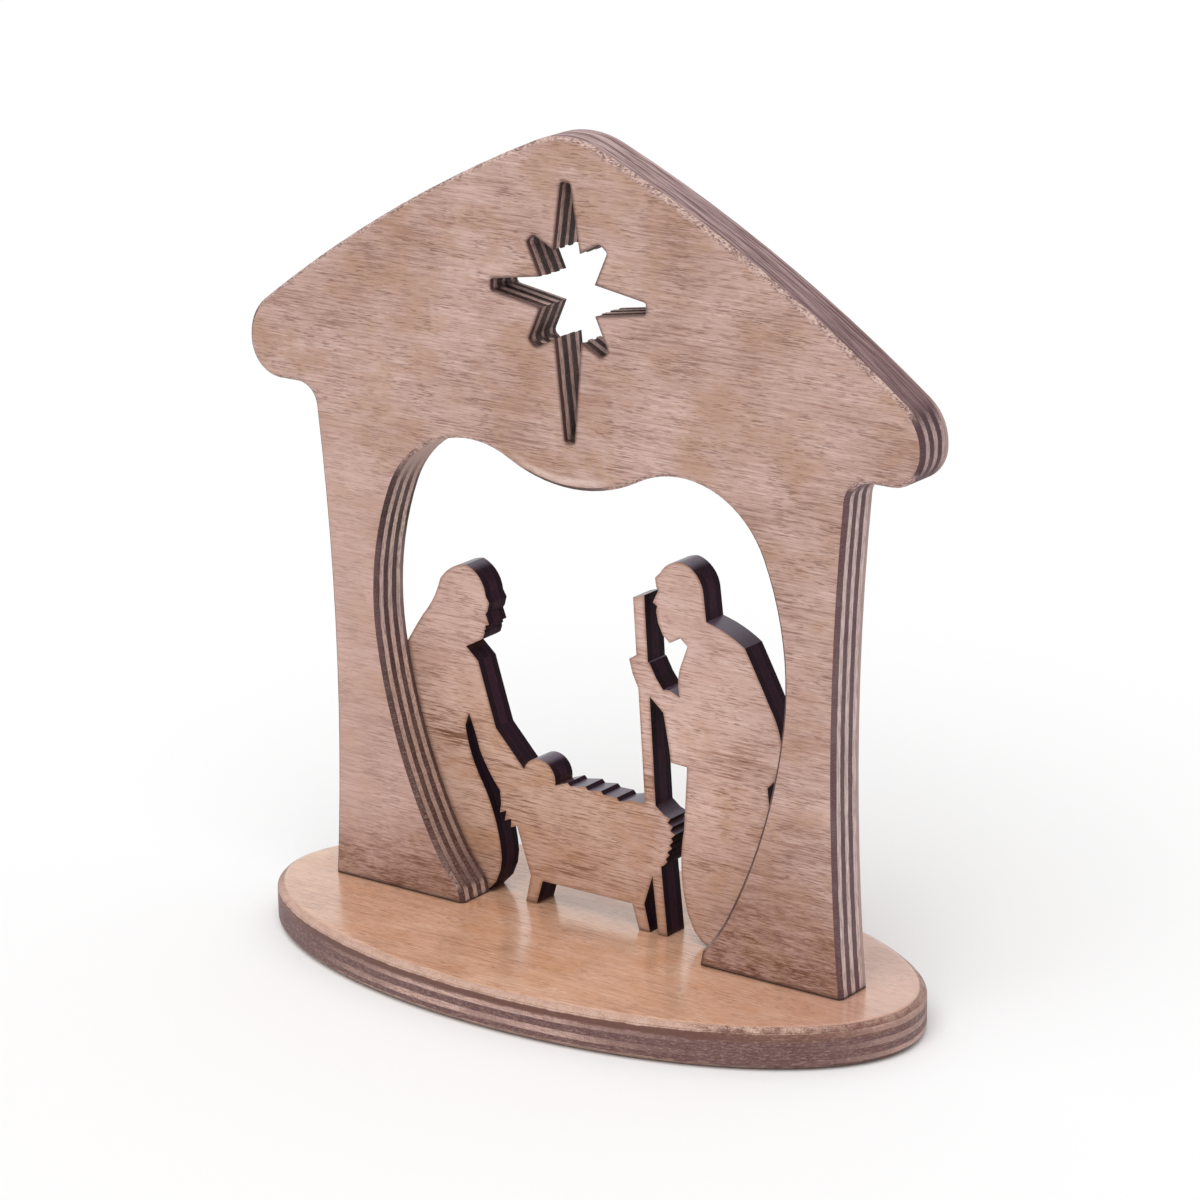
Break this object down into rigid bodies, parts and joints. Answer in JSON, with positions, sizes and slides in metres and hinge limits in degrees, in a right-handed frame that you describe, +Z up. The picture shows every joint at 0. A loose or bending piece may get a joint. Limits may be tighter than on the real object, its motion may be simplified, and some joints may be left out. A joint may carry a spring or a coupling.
{
  "type": "wooden nativity stable",
  "caption": "Flat plywood stable front with a star cut-out and arched opening, standing on an oval base, with a cut-out group of kneeling and standing figures and a manger behind it.",
  "frame": {"origin": "middle of the underside of the oval base", "axes": "+Z up, +X to the right as seen from the front, +Y from the front to the back"},
  "size_m": [0.1672, 0.0784, 0.176],
  "materials": {
    "stable_face": "stained birch, satin",
    "base_face": "stained birch, satin varnish",
    "light_ply": "sanded long-grain edge",
    "dark_ply": "sanded end-grain edge",
    "figure_face": "stained birch, matt",
    "charred_ply": "scorched by the laser",
    "tenon_wood": "plain"
  },
  "bodies": {
    "root": {"base_top_veneer": "base_face", "base_core_ply_1": "light_ply", "base_core_ply_2": "dark_ply", "base_core_ply_3": "light_ply", "base_core_ply_4": "dark_ply", "base_core_ply_5": "light_ply", "base_bottom_veneer": "base_face", "stable_front_veneer": "stable_face", "stable_core_ply_1": "light_ply", "stable_core_ply_2": "dark_ply", "stable_core_ply_3": "light_ply", "stable_core_ply_4": "dark_ply", "stable_core_ply_5": "light_ply", "stable_back_veneer": "stable_face", "figures_front_veneer": "figure_face", "figures_core_ply_1": "charred_ply", "figures_back_veneer": "figure_face", "tenon_left": "tenon_wood", "tenon_right": "tenon_wood"}
  },
  "joints": []
}
